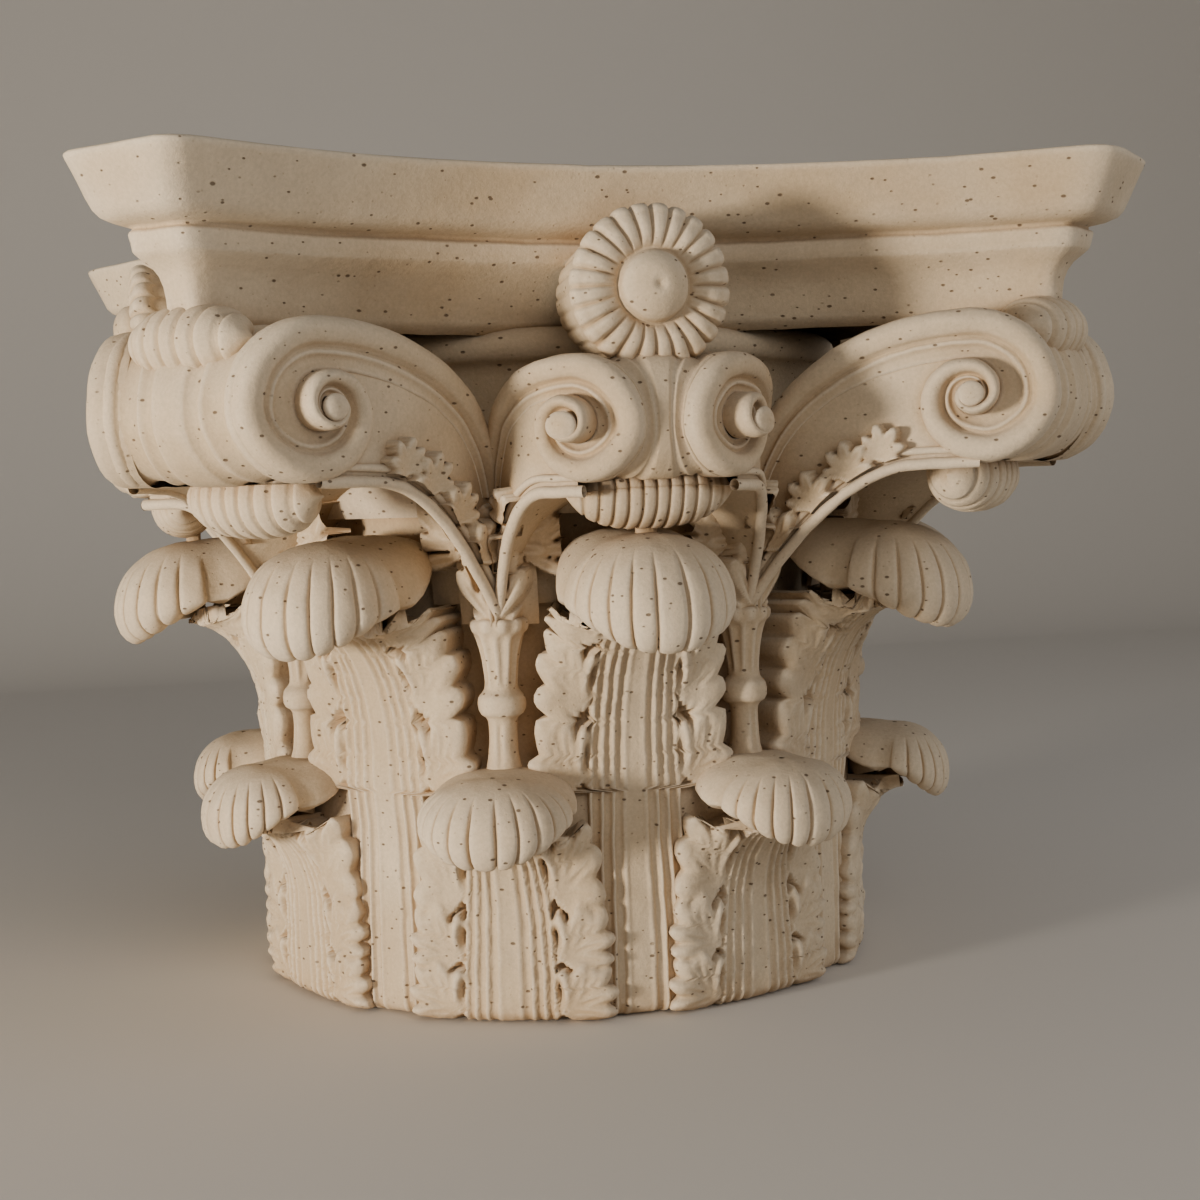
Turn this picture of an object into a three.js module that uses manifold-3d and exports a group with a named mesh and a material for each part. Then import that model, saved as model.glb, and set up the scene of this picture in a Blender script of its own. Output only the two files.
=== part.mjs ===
// Corinthian capital carved from one block of limestone.
// Two rows of eight acanthus leaves, eight stems that each open into a calyx, a pair of
// volutes under every horn of the abacus, a pair of helices and a fleuron on every face.
//
// Millimetres, +Z up.  The origin is the middle of the bottom bed, and a face of the
// abacus looks along -Y.  Azimuths are measured from -Y towards +X.

import * as THREE from 'three';
import { mergeVertices } from 'three/addons/utils/BufferGeometryUtils.js';
import Module from 'manifold-3d';

// ---- Driving dimensions --------------------------------------------------------------

const HEIGHT = 525;
const BED_RADIUS = 201;
const FACE_RADIUS = 213;      // front of the leaves where they stand against the bell
const STALK_RADIUS = 209;     // ribbed stalks of the upper leaves, between the lower ones
const CORE_RADIUS = 150;      // depth to which the leaves are let into the bell
const BELL_RADIUS = 194;
const LIP_RADIUS = 205;
const LIP_LEVEL = 423;        // middle of the bell's rounded lip
const LIP_HALF = 12;

// Abacus: each level has its horn reach, the end of its side and the side's middle.
const ABACUS_LEVELS = [
  { z: 432, reach: 274, end: 256, middle: 186 },
  { z: 456, reach: 278, end: 257, middle: 192 },
  { z: 468, reach: 292, end: 260, middle: 205 },
  { z: 482, reach: 296, end: 262, middle: 210 },
  { z: 487, reach: 316, end: 267, middle: 227 },
  { z: HEIGHT - 2, reach: 330, end: 270, middle: 239 },
  { z: HEIGHT, reach: 327, end: 268, middle: 237 },
];
const ABACUS_STEPS = 5;

// Leaves.  first is the azimuth of a row's first leaf, and facing how far its front stands
// before FACE_RADIUS.  foot, half and cap are half widths at the base, at the flare and at
// the curled tip.  The tip curls from under, round lip and outermost tip, up to top; at
// the leaf's edges these levels draw together at hinge.  reach is how far the tip hangs out.
const UPPER_LEAF = {
  first: 0, facing: 0, base: 134, rows: [0, 1], foot: 60, half: 61, cap: 52,
  flare: 165, under: 250, lip: 237, tip: 257, top: 306, hinge: 267, reach: 100,
};
const LOWER_LEAF = {
  first: 22.5, facing: 1, base: 6, rows: [0, 0.5, 1], foot: 59, half: 53, cap: 49,
  flare: 66, under: 117, lip: 109, tip: 124, top: 160, hinge: 137, reach: 65,
};
const LEAF_STEPS = 8;         // facets across a leaf, a crest and a hollow by turns
const RIB_DEPTH = 2.2;
const SCALLOP = 3;

// Scrolls: the volute's plan runs from the calyx out to the horn, the helix's to the
// middle of the face.  Both are given for the face along -Y, right-hand side.  The eye
// lies pastEye before the plan's end, and the inner turns rise towards it.
const VOLUTE = {
  plan: [[82, -203], [136, -275], [235, -311]],
  scale: 1, eye: 381, pastEye: 45, turns: 1.85, rise: 12, roll: 9,
};
const HELIX = {
  plan: [[80, -203], [86, -276], [16, -304]],
  scale: 0.8, eye: 369, pastEye: 37, turns: 1.75, rise: 24, roll: 8,
};
const SCROLL_RADIUS = 52;
const SCROLL_SIDES = 8;       // facets in one turn
const SCROLL_BACK = 10;       // how far a scroll's rim goes back into the stone
const STEM_FOOT = 326;        // level where the stems leave the calyx
const CALYX_LEVEL = 256;
const CALYX_AZIMUTH = 22.5;

const FLEURON = { radius: 48, centre: 448, front: 288, petals: 7, boss: 21 };

// The joined stone has no shorter edge and no thinner triangle than these.
const SHORTEST_EDGE = 1.5;
const THINNEST_FACE = 0.2;

// ---- Small tools ---------------------------------------------------------------------

const wasm = await Module();
wasm.setup();

const radians = THREE.MathUtils.degToRad;
const mix = THREE.MathUtils.lerp;

function polar(azimuth, radius, z) {
  return new THREE.Vector3(radius * Math.sin(azimuth), -radius * Math.cos(azimuth), z);
}

function range(count, make) {
  return Array.from({ length: count }, (_, i) => make(i));
}

// A closed body through rings of equally many points, with a fan over each end.
function loft(rings, centres = []) {
  const count = rings[0].length;
  const points = rings.flat();
  const index = [];
  for (let k = 0; k + 1 < rings.length; k++) {
    for (let i = 0; i < count; i++) {
      const a = k * count + i;
      const b = k * count + (i + 1) % count;
      index.push(a, b, b + count, a, b + count, a + count);
    }
  }
  for (const [end, ring] of [[0, rings[0]], [1, rings[rings.length - 1]]]) {
    const base = end ? (rings.length - 1) * count : 0;
    const middle = centres[end]
      ?? ring.reduce((sum, p) => sum.add(p), new THREE.Vector3()).divideScalar(count);
    const hub = points.push(middle) - 1;
    for (let i = 0; i < count; i++) {
      const a = base + i;
      const b = base + (i + 1) % count;
      index.push(...(end ? [a, b, hub] : [b, a, hub]));
    }
  }
  const geometry = new THREE.BufferGeometry().setFromPoints(points);
  geometry.setIndex(index);
  return geometry;
}

function volume(position, index) {
  const [a, b, c] = range(3, () => new THREE.Vector3());
  let sum = 0;
  for (let i = 0; i < index.length; i += 3) {
    a.fromBufferAttribute(position, index[i]);
    b.fromBufferAttribute(position, index[i + 1]);
    c.fromBufferAttribute(position, index[i + 2]);
    sum += a.dot(b.cross(c)) / 6;
  }
  return sum;
}

// A geometry as a solid whose faces point outwards.
function solid(geometry) {
  const bare = geometry.clone();
  bare.deleteAttribute('normal');
  bare.deleteAttribute('uv');
  const merged = mergeVertices(bare, 1e-3);
  const index = Array.from(merged.index.array);
  const position = merged.attributes.position;
  if (volume(position, index) < 0) {
    for (let i = 0; i < index.length; i += 3) {
      [index[i], index[i + 1]] = [index[i + 1], index[i]];
    }
  }
  return new wasm.Manifold(new wasm.Mesh({
    numProp: 3,
    vertProperties: new Float32Array(position.array),
    triVerts: new Uint32Array(index),
  }));
}

function join(solids) {
  return solids.reduce((all, one) => all.add(one));
}

// The same solid turned about the axis to another face.
function turned(one, azimuth) {
  return one.rotate([0, 0, azimuth]);
}

// The same solid for the other hand.
function mirrored(one) {
  return one.mirror([1, 0, 0]);
}

// ---- Bell and abacus -----------------------------------------------------------------

function bell() {
  const profile = [
    [0, 0], [BED_RADIUS, 0], [STALK_RADIUS, 9], [STALK_RADIUS, 145],
    [BELL_RADIUS - 4, 158], [BELL_RADIUS - 6, 250], [BELL_RADIUS, 405],
    [LIP_RADIUS, LIP_LEVEL - LIP_HALF * 0.7], [LIP_RADIUS, LIP_LEVEL + LIP_HALF * 0.7],
    [LIP_RADIUS - 20, LIP_LEVEL + LIP_HALF * 1.6], [0, LIP_LEVEL + LIP_HALF * 1.6],
  ];
  const lathe = new THREE.LatheGeometry(profile.map(([r, z]) => new THREE.Vector2(r, z)), 24);
  return solid(lathe.rotateX(Math.PI / 2));
}

// One level of the abacus: four hollow sides between four cut horns.
function abacusRing({ z, reach, end, middle }) {
  const sag = reach - middle;
  const radius = (end * end + sag * sag) / (2 * sag);
  const sweep = Math.asin(end / radius);
  const side = range(ABACUS_STEPS + 1, (i) => {
    const angle = mix(-sweep, sweep, i / ABACUS_STEPS);
    return [radius * Math.sin(angle), -(middle + radius) + radius * Math.cos(angle)];
  });
  return range(4, (face) => side.map(([x, y]) =>
    new THREE.Vector3(x, y, z).applyAxisAngle(new THREE.Vector3(0, 0, 1), face * Math.PI / 2)))
    .flat();
}

function abacus() {
  return solid(loft(ABACUS_LEVELS.map(abacusRing)));
}

// ---- Acanthus leaves -----------------------------------------------------------------

// The leaf's section at one place across it, from -1 to 1: up the front, under the
// curled tip, round it and back over the top into the bell.
function leafSection(leaf, azimuth, across, crest) {
  const round = Math.sqrt(1 - across * across);
  const reach = leaf.reach * (0.42 + 0.58 * (1 - Math.abs(across) ** 2.4));
  const level = (z) => mix(leaf.hinge, z, 0.15 + 0.85 * round);
  const front = FACE_RADIUS + leaf.facing;
  const rib = crest * RIB_DEPTH;
  const section = [];
  const add = (half, radius, z) =>
    section.push(polar(azimuth + across * half / Math.max(radius, FACE_RADIUS), radius, z));
  add(leaf.foot, CORE_RADIUS, leaf.base);
  leaf.rows.forEach((row, i) => {
    const z = mix(leaf.base, leaf.flare, row);
    const half = mix(leaf.foot, leaf.half, row) + (i % 2 ? SCALLOP : -SCALLOP);
    add(half, front + rib, z);
  });
  for (const angle of [50, 90]) {
    const out = 0.52 * reach * (1 - Math.cos(radians(angle)));
    const half = mix(leaf.half, leaf.cap, angle / 90);
    add(half, front + out + rib, mix(leaf.flare, level(leaf.under), Math.sin(radians(angle))));
  }
  add(leaf.cap, front + 0.84 * reach, level(leaf.lip) - crest * RIB_DEPTH);
  add(leaf.cap - 1, front + reach + rib, level(leaf.tip));
  add(leaf.cap, front + reach - 0.26 * leaf.reach, mix(level(leaf.tip), level(leaf.top), 0.82));
  add(leaf.cap + 3, BELL_RADIUS - 8, level(leaf.top) + 4);
  add(leaf.cap, CORE_RADIUS, level(leaf.top) - 12);
  return section;
}

function acanthus(leaf, azimuth) {
  const sections = range(LEAF_STEPS + 1, (i) =>
    leafSection(leaf, azimuth, mix(-1, 1, i / LEAF_STEPS), i % 2 ? 1 : -1));
  const hub = (side) =>
    polar(azimuth + side * leaf.foot / FACE_RADIUS, CORE_RADIUS + 20, leaf.flare + 20);
  return solid(loft(sections, [hub(-1), hub(1)]));
}

function leafRow(leaf) {
  return range(8, (i) => acanthus(leaf, radians(leaf.first + 45 * i)));
}

// ---- Scrolls -------------------------------------------------------------------------

// A vertical surface over a plan curve.  It carries the flat shape of a scroll: distance
// along the curve, level, and height above the surface.
function planSurface(plan) {
  const curve = new THREE.QuadraticBezierCurve(...plan.map(([x, y]) => new THREE.Vector2(x, y)));
  const length = curve.getLength();
  const place = (along, z, above) => {
    const t = THREE.MathUtils.clamp(along / length, 0, 1);
    const point = curve.getPointAt(t);
    const tangent = curve.getTangentAt(t);
    const past = along - t * length;
    const side = Math.sign(plan[2][0] - plan[0][0]);
    return new THREE.Vector3(
      point.x + tangent.x * past + side * tangent.y * above,
      point.y + tangent.y * past - side * tangent.x * above,
      z,
    );
  };
  return { length, place };
}

// How far the ribbon has closed in on the eye after so many turns from the top.
function uncoiled(turn) {
  return Math.exp(-1.19 * Math.max(0, turn - 0.27));
}

// The coiled face of a scroll: one ribbon whose outer foot is the groove of the turn
// outside it, its crest, and the eye.  The loop is the face's rim.
function scrollFace(scroll, surface) {
  const size = SCROLL_RADIUS * scroll.scale;
  const eye = surface.length - scroll.pastEye;
  const last = Math.round(scroll.turns * SCROLL_SIDES);
  const place = (turn, radius, above) => {
    const a = turn * 2 * Math.PI;
    return surface.place(eye + radius * Math.sin(a), scroll.eye + radius * Math.cos(a), above);
  };
  const rise = (turn) => scroll.rise * THREE.MathUtils.smoothstep(turn, 0.5, 1.5);
  const foot = range(last + 1, (k) => {
    const turn = k / SCROLL_SIDES;
    const above = turn < 1 ? -SCROLL_BACK : rise(turn) - 2;
    return place(turn, size * uncoiled(turn), above);
  });
  const crest = range(last + 1, (k) => {
    const turn = k / SCROLL_SIDES;
    return place(turn, size * uncoiled(turn) * 0.84, scroll.roll + rise(turn));
  });
  const points = [...foot, ...crest, place(0, 0, scroll.roll + scroll.rise + 1)];
  const hub = points.length - 1;
  const C = (k) => last + 1 + k;
  const G = (k) => (k + SCROLL_SIDES <= last ? k + SCROLL_SIDES : hub);
  const index = [];
  for (let k = 0; k < last; k++) {
    index.push(k, k + 1, C(k + 1), k, C(k + 1), C(k));
    index.push(C(k), C(k + 1), G(k + 1));
    if (G(k) !== G(k + 1)) index.push(C(k), G(k + 1), G(k));
  }
  index.push(last, hub, C(last));
  return { points, index, loop: [...range(SCROLL_SIDES + 1, (k) => k), C(0)] };
}

// A scroll and its mirror image, with the stone between their rims: a hollow on each
// side and a flat fillet in the middle.
function scrollPair(scroll, middle, steps) {
  const surface = planSurface(scroll.plan);
  const { points, index, loop } = scrollFace(scroll, surface);
  const eye = surface.place(surface.length - scroll.pastEye, scroll.eye, 0);
  const all = [...points, ...points.map((p) => reflect(p, middle))];
  const faces = [...index, ...index.map((i) => i + points.length).reverse()];
  const rims = [loop];
  for (const [t, scale] of steps) {
    rims.push(loop.map((i) => {
      const near = eye.clone().lerp(points[i], scale);
      return all.push(near.lerp(reflect(near, middle), t)) - 1;
    }));
  }
  rims.push(loop.map((i) => i + points.length));
  for (let k = 0; k + 1 < rims.length; k++) {
    loop.forEach((_, i) => {
      const j = (i + 1) % loop.length;
      faces.push(rims[k][j], rims[k][i], rims[k + 1][i]);
      faces.push(rims[k][j], rims[k + 1][i], rims[k + 1][j]);
    });
  }
  const geometry = new THREE.BufferGeometry().setFromPoints(all);
  geometry.setIndex(faces);
  return solid(geometry);
}

// The stem of a scroll: a ribbon from the calyx up to the top of the coil.
function stem(scroll) {
  const surface = planSurface(scroll.plan);
  const eye = surface.length - scroll.pastEye;
  const top = SCROLL_RADIUS * scroll.scale;
  const width = 17 * scroll.scale;
  const rings = [84, 45, 4].map((angle) => {
    const a = radians(angle);
    const point = (inset, above) => surface.place(
      eye - (eye - inset) * Math.sin(a),
      STEM_FOOT + (scroll.eye + top - inset - STEM_FOOT) * Math.cos(a),
      above,
    );
    return [point(0, -SCROLL_BACK), point(width * 0.5, scroll.roll), point(width, -SCROLL_BACK)];
  });
  return solid(loft(rings));
}

// The stone behind a pair of scrolls: from the arched edges that rise out of the calyces
// up to the stems, with a vault between them whose crown lies in the middle plane.
function web(scroll, middle, { crown, arch, inner, outer, past }) {
  const surface = planSurface(scroll.plan);
  const eye = surface.length - scroll.pastEye;
  const rings = range(4, (i) => {
    const t = i / 3;
    const along = mix(-4, eye + past, t);
    const bend = Math.asin(THREE.MathUtils.clamp(1 - along / eye, 0, 1));
    const upper = mix(STEM_FOOT, scroll.eye + SCROLL_RADIUS * scroll.scale, Math.cos(bend)) - 8;
    const rise = Math.sin(Math.PI / 2 * THREE.MathUtils.clamp(along / arch, 0, 1));
    const low = surface.place(along, mix(CALYX_LEVEL, crown, rise), 0);
    const high = surface.place(along, Math.max(upper, low.z + 12), 0);
    const ridge = middle.clone().multiplyScalar(mix(inner, outer, t))
      .setZ(Math.min(crown + 2, high.z - 8));
    return [low, high, reflect(high, middle), reflect(low, middle), ridge];
  });
  const hubs = [rings[0], rings[rings.length - 1]].map(([, high, , , ridge]) =>
    ridge.clone().setZ((high.z + ridge.z) / 2));
  return solid(loft(rings, hubs));
}

function sideways(axis) {
  return new THREE.Vector3(-axis.y, axis.x, 0);
}

// Mirror image of a point or direction in the vertical plane through the given axis.
function reflect(v, axis) {
  const side = sideways(axis);
  return v.clone().addScaledVector(side, -2 * v.dot(side));
}

// ---- Small ornament ------------------------------------------------------------------

// A ribbed shell: a rounded body whose surface swells and sinks by turns.
function shell(centre, out, size, ribs) {
  const along = sideways(out);
  const rings = [-0.94, -0.4, 0.4, 0.94].map((s, k) => {
    const swell = Math.sqrt(1 - s * s);
    return range(ribs, (i) => {
      const a = i / ribs * 2 * Math.PI;
      return centre.clone()
        .addScaledVector(along, s * size.x)
        .addScaledVector(out, swell * size.y * Math.cos(a))
        .add(new THREE.Vector3(0, 0, swell * size.z * Math.sin(a)));
    });
  });
  return solid(loft(rings));
}

// A stem between two upper leaves: flared foot, shaft, ring, cup and the leafy calyx.
function caulicolus() {
  const levels = [
    [150, 12], [193, 9.5], [197, 15], [207, 14], [211, 10], [252, 19],
  ];
  const rings = levels.map(([z, radius]) => range(6, (i) => {
    const a = i / 6 * 2 * Math.PI;
    return new THREE.Vector3(radius * Math.cos(a), -206 - radius * Math.sin(a), z);
  }));
  return solid(loft(rings)).rotate([0, 0, CALYX_AZIMUTH]);
}

function calyx() {
  const levels = [
    [245, 12, 12, 0], [300, 29, 21, 6], [346, 40, 17, 12],
  ];
  const rings = levels.map(([z, wide, deep, out]) => range(6, (i) => {
    const a = i / 6 * 2 * Math.PI;
    const lobe = i % 2 ? 0.94 : 1.06;
    return new THREE.Vector3(
      wide * lobe * Math.cos(a), -208 - out - deep * lobe * Math.sin(a), z);
  }));
  return solid(loft(rings)).rotate([0, 0, CALYX_AZIMUTH]);
}

// The post left standing between a shell under the helices and the leaf below it.
function strut() {
  const rings = [292, 316].map((z) => [[-7, -256], [0, -270], [7, -256]]
    .map(([x, y]) => new THREE.Vector3(x, y, z)));
  return solid(loft(rings));
}

function fleuron() {
  const { radius, centre, front, petals, boss } = FLEURON;
  const rings = [
    [radius * 0.8, 180, 0], [radius, front - 14, 1], [radius * 0.86, front, 1],
    [boss, front - 3, 0],
  ].map(([size, depth, lobed]) => range(2 * petals, (i) => {
    const a = i / petals * Math.PI;
    const r = size * (lobed && i % 2 ? 0.93 : 1);
    return new THREE.Vector3(r * Math.cos(a), -depth, centre + r * Math.sin(a));
  }));
  return solid(loft(rings, [null, new THREE.Vector3(0, -(front + 17), centre)]));
}

// ---- The capital ---------------------------------------------------------------------

function capital() {
  const front = new THREE.Vector3(0, -1, 0);
  const horn = new THREE.Vector3(Math.SQRT1_2, -Math.SQRT1_2, 0);
  const half = [stem(VOLUTE), stem(HELIX), caulicolus(), calyx()];
  const face = join([
    web(VOLUTE, horn, { crown: 340, arch: 112, inner: 172, outer: 350, past: 4 }),
    web(HELIX, front, { crown: 331, arch: 70, inner: 172, outer: 290, past: -12 }),
    scrollPair(VOLUTE, horn, [[0.12, 0.88], [0.38, 1], [0.62, 1], [0.88, 0.88]]),
    scrollPair(HELIX, front, [[0.5, 0.93]]),
    ...half,
    ...half.map(mirrored),
    fleuron(),
    shell(new THREE.Vector3(0, -262, 328), front, { x: 46, y: 22, z: 21 }, 6),
    shell(horn.clone().multiplyScalar(318).setZ(333), horn, { x: 44, y: 24, z: 22 }, 6),
    shell(horn.clone().multiplyScalar(364).setZ(421), horn, { x: 42, y: 26, z: 22 }, 6),
    strut(),
  ]);
  return join([
    bell(), abacus(), ...leafRow(LOWER_LEAF), ...leafRow(UPPER_LEAF),
    ...range(4, (i) => turned(face, 90 * i)),
  ]);
}

function edgeLengths(points, face) {
  return face.map((a, i) => points[a].distanceTo(points[face[(i + 1) % 3]]));
}

function altitude(points, face) {
  const [a, b, c] = face.map((i) => points[i]);
  const area = b.clone().sub(a).cross(c.clone().sub(a)).length() / 2;
  return 2 * area / Math.max(...edgeLengths(points, face));
}

// Where surfaces cross, joining leaves needles and slivers.  Each pass closes up short
// edges and turns the long edge of a flat triangle, one change to a neighbourhood.
function withoutSlivers(points, faces) {
  const around = points.map(() => new Set());
  const owner = new Map();
  faces.forEach((face, k) => face.forEach((a, i) => {
    const b = face[(i + 1) % 3];
    around[a].add(b);
    around[b].add(a);
    owner.set(a * points.length + b, k);
  }));
  const busy = new Set();
  const claim = (...vertices) => {
    const ring = vertices.flatMap((v) => [v, ...around[v]]);
    if (ring.some((v) => busy.has(v))) return false;
    ring.forEach((v) => busy.add(v));
    return true;
  };
  const merged = new Map();
  let changes = 0;
  faces.forEach((face, k) => {
    if (face.some((v) => busy.has(v))) return;
    const lengths = edgeLengths(points, face);
    const short = lengths.indexOf(Math.min(...lengths));
    const [a, b] = [face[short], face[(short + 1) % 3]];
    if (lengths[short] < SHORTEST_EDGE) {
      const common = [...around[a]].filter((v) => around[b].has(v));
      if (common.length === 2 && claim(a, b)) {
        merged.set(b, a);
        points[a].lerp(points[b], 0.5);
        changes++;
      }
      return;
    }
    if (altitude(points, face) > THINNEST_FACE) return;
    const long = lengths.indexOf(Math.max(...lengths));
    const [p, q, r] = [0, 1, 2].map((i) => face[(long + i) % 3]);
    const other = owner.get(q * points.length + p);
    const s = faces[other].find((v) => v !== p && v !== q);
    if (!around[r].has(s) && claim(p, q, r, s)) {
      faces[k] = [p, s, r];
      faces[other] = [s, q, r];
      changes++;
    }
  });
  const kept = faces.map((face) => face.map((v) => merged.get(v) ?? v))
    .filter(([a, b, c]) => a !== b && b !== c && c !== a);
  return { kept, changes };
}

function meshOf(manifold, name, material) {
  const { vertProperties, triVerts } = manifold.getMesh();
  const points = range(vertProperties.length / 3, (i) =>
    new THREE.Vector3().fromArray(vertProperties, 3 * i));
  let faces = range(triVerts.length / 3, (i) => Array.from(triVerts.slice(3 * i, 3 * i + 3)));
  for (let pass = 0, changes = 1; changes && pass < 40; pass++) {
    ({ kept: faces, changes } = withoutSlivers(points, faces));
  }
  const used = [...new Set(faces.flat())];
  const place = new Map(used.map((v, i) => [v, i]));
  const geometry = new THREE.BufferGeometry().setFromPoints(used.map((v) => points[v]));
  geometry.setIndex(faces.flat().map((v) => place.get(v)));
  geometry.computeVertexNormals();
  const mesh = new THREE.Mesh(geometry, material);
  mesh.name = name;
  return mesh;
}

const limestone = new THREE.MeshStandardMaterial({
  color: 0xd9c9af, roughness: 0.9, metalness: 0,
});

const group = new THREE.Group();
group.add(meshOf(capital(), 'corinthian_capital', limestone));

export default group;
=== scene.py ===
# A Corinthian capital carved from warm, pitted limestone, in a plain pale studio.
# Sizes are in millimetres until a piece is made, and MM turns them into the frame's metres.
# Azimuths are measured from the front face's normal, -Y, towards +X.
import math

import bpy
import numpy as np
from mathutils import Matrix, Vector


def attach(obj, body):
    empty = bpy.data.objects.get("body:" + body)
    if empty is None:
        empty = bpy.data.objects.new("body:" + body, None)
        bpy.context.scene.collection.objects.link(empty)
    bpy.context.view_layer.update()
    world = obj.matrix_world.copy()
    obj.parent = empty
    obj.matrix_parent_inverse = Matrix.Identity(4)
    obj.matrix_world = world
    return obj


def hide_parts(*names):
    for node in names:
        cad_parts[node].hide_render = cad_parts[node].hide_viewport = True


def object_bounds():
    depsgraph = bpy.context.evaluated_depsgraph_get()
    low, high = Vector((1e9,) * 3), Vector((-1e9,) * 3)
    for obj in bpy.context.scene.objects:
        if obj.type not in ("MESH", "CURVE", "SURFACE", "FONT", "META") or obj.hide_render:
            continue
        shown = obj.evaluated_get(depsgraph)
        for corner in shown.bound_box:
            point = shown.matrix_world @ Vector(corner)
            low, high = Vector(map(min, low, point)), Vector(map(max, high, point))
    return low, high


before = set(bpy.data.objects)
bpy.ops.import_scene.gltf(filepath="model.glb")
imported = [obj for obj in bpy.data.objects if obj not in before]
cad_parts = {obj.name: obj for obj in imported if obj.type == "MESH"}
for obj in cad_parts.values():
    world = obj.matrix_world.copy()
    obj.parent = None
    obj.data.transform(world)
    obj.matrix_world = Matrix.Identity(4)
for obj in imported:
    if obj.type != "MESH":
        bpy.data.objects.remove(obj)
CAD_LOW, CAD_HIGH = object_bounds()

NODE = "corinthian_capital"
HEIGHT = 525.0
MM = (CAD_HIGH[2] - CAD_LOW[2]) / HEIGHT

# ---- Driving sizes -------------------------------------------------------------------

BED_RADIUS = 201.0
FACE_RADIUS = 213.0
STALK_RADIUS = 209.0
BELL_RADIUS = 192.0
BELL_TOP = 433.0
DEEP = -14.0                 # the level of stone cut away round a leaf's lobes

# A leaf's levels run from its base up to where it flares, under its curled tip, the lip's
# lowest edge, its foremost point and its top.  half and cap are half widths, and each rib
# has its distance from the middle at the foot and near the top.

UPPER = dict(
    first=0.0, base=150.0, front=213.0, stalk=30.0, half=61.0, cap=52.0, flare=165.0,
    under=250.0, lip=237.0, tip=257.0, top=306.0, hinge=267.0, reach=100.0,
    roots=(148.0, 184.0, 220.0), ribs=((9.0, 5.5), (17.0, 11.5), (25.0, 17.5), (33.0, 24.0)),
)
LOWER = dict(
    first=22.5, base=0.0, front=214.0, stalk=59.0, half=56.0, cap=49.0, flare=66.0,
    under=117.0, lip=109.0, tip=124.0, top=160.0, hinge=137.0, reach=65.0,
    roots=(4.0, 38.0, 72.0), ribs=((7.5, 5.0), (15.0, 10.5), (22.5, 15.5), (29.0, 20.0)),
)
LIP_LOBES = 11
TIP_PLAN = 2.3               # exponent of the curled tip's outline in plan
TIP_SIDE = 2.1               # exponent of its dome, across
TIP_RISE = 2.2               # exponent of its dome, upright
# The lip rolls under: share of the way in, share of the hang, depth of the grooves.
LIP_ROLL = (
    (0.012, 0.3, 1.0), (0.05, 0.62, 1.0), (0.11, 0.86, 1.0), (0.17, 0.97, 0.9),
    (0.22, 1.0, 0.8), (0.27, 0.97, 0.7), (0.31, 0.86, 0.6),
)
# A side lobe's leaflets: lean from upright in degrees, length and width.
LOBE_LEAFLETS = ((6, 31, 13), (27, 41, 13), (47, 45, 13.5), (67, 41, 12.5), (88, 37, 11.5),
                 (108, 33, 10))

# A scroll is drawn on an upright surface over a curve in plan.  Its eye stands `past` short
# of the curve's end, and its pair is its mirror image in the plane at `axis` degrees.  Its
# arch climbs to `crown` over the length `arch`, and its vault's ridge runs out to `ridge`.
VOLUTE = dict(
    plan=((82, -203), (136, -275), (235, -311)), axis=45.0, radius=52.0, eye=381.0,
    past=45.0, turns=2.0, rise=12.0, roll=9.0, crown=340.0, arch=112.0, ridge=350.0,
)
HELIX = dict(
    plan=((80, -203), (86, -276), (16, -304)), axis=0.0, radius=41.6, eye=369.0,
    past=37.0, turns=1.75, rise=16.0, roll=8.0, crown=331.0, arch=70.0, ridge=285.0,
)
COIL_TIGHTENING = 1.19       # the coil's radius falls by e to this power in a turn
STEM_FOOT = 326.0
CALYX_LEVEL = 256.0
VAULT_ROOT = 172.0           # where the vaults under the scrolls start, inside the bell


# ---- Numbers -------------------------------------------------------------------------

def mix(a, b, t):
    return a + (b - a) * t


def smooth(t):
    t = np.clip(t, 0.0, 1.0)
    return t * t * (3 - 2 * t)


def lumps(points, size, seed):
    """Smooth noise between about -1 and 1, with waves about `size` long."""
    rng = np.random.default_rng(seed)
    total = np.zeros(len(points))
    for _ in range(7):
        direction = rng.normal(size=3)
        direction *= 2 * math.pi / (size * rng.uniform(0.7, 1.5) * np.linalg.norm(direction))
        total += np.sin(points @ direction + rng.uniform(0, 2 * math.pi))
    return total / 3.5


def polar(azimuth, radius, z):
    """Points at the given azimuths, in radians, radii and levels."""
    azimuth, radius, z = np.broadcast_arrays(azimuth, radius, z)
    return np.stack([radius * np.sin(azimuth), -radius * np.cos(azimuth), z], -1)


# ---- Meshes: a part is (points, quads) -------------------------------------------------

def facing_out(points, quads):
    """Turns the quads over if, seen from the middle of the stone, they face inwards."""
    p = points - np.array([0.0, 0.0, 250.0])
    a, b, c, d = (p[quads[:, i]] for i in range(4))
    swept = np.einsum("ij,ij->i", a, np.cross(b, c) + np.cross(c, d)).sum()
    return (points, quads) if swept > 0 else (points, quads[:, ::-1])


def sheet(points, wrap=False):
    """The quads through a grid of points of shape (rows, columns, 3)."""
    rows, columns = points.shape[:2]
    index = np.arange(rows * columns).reshape(rows, columns)
    if wrap:
        index = np.concatenate([index, index[:, :1]], 1)
    quads = np.stack([index[:-1, :-1], index[:-1, 1:], index[1:, 1:], index[1:, :-1]], -1)
    return facing_out(points.reshape(-1, 3), quads.reshape(-1, 4))


def turned(part, degrees):
    points, quads = part
    a = math.radians(degrees)
    turn = np.array([[math.cos(a), -math.sin(a), 0], [math.sin(a), math.cos(a), 0], [0, 0, 1]])
    return points @ turn.T, quads


def mirrored(part):
    points, quads = part
    return points * np.array([-1.0, 1.0, 1.0]), quads[:, ::-1]


def with_mirror(parts):
    return parts + [mirrored(part) for part in parts]


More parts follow.
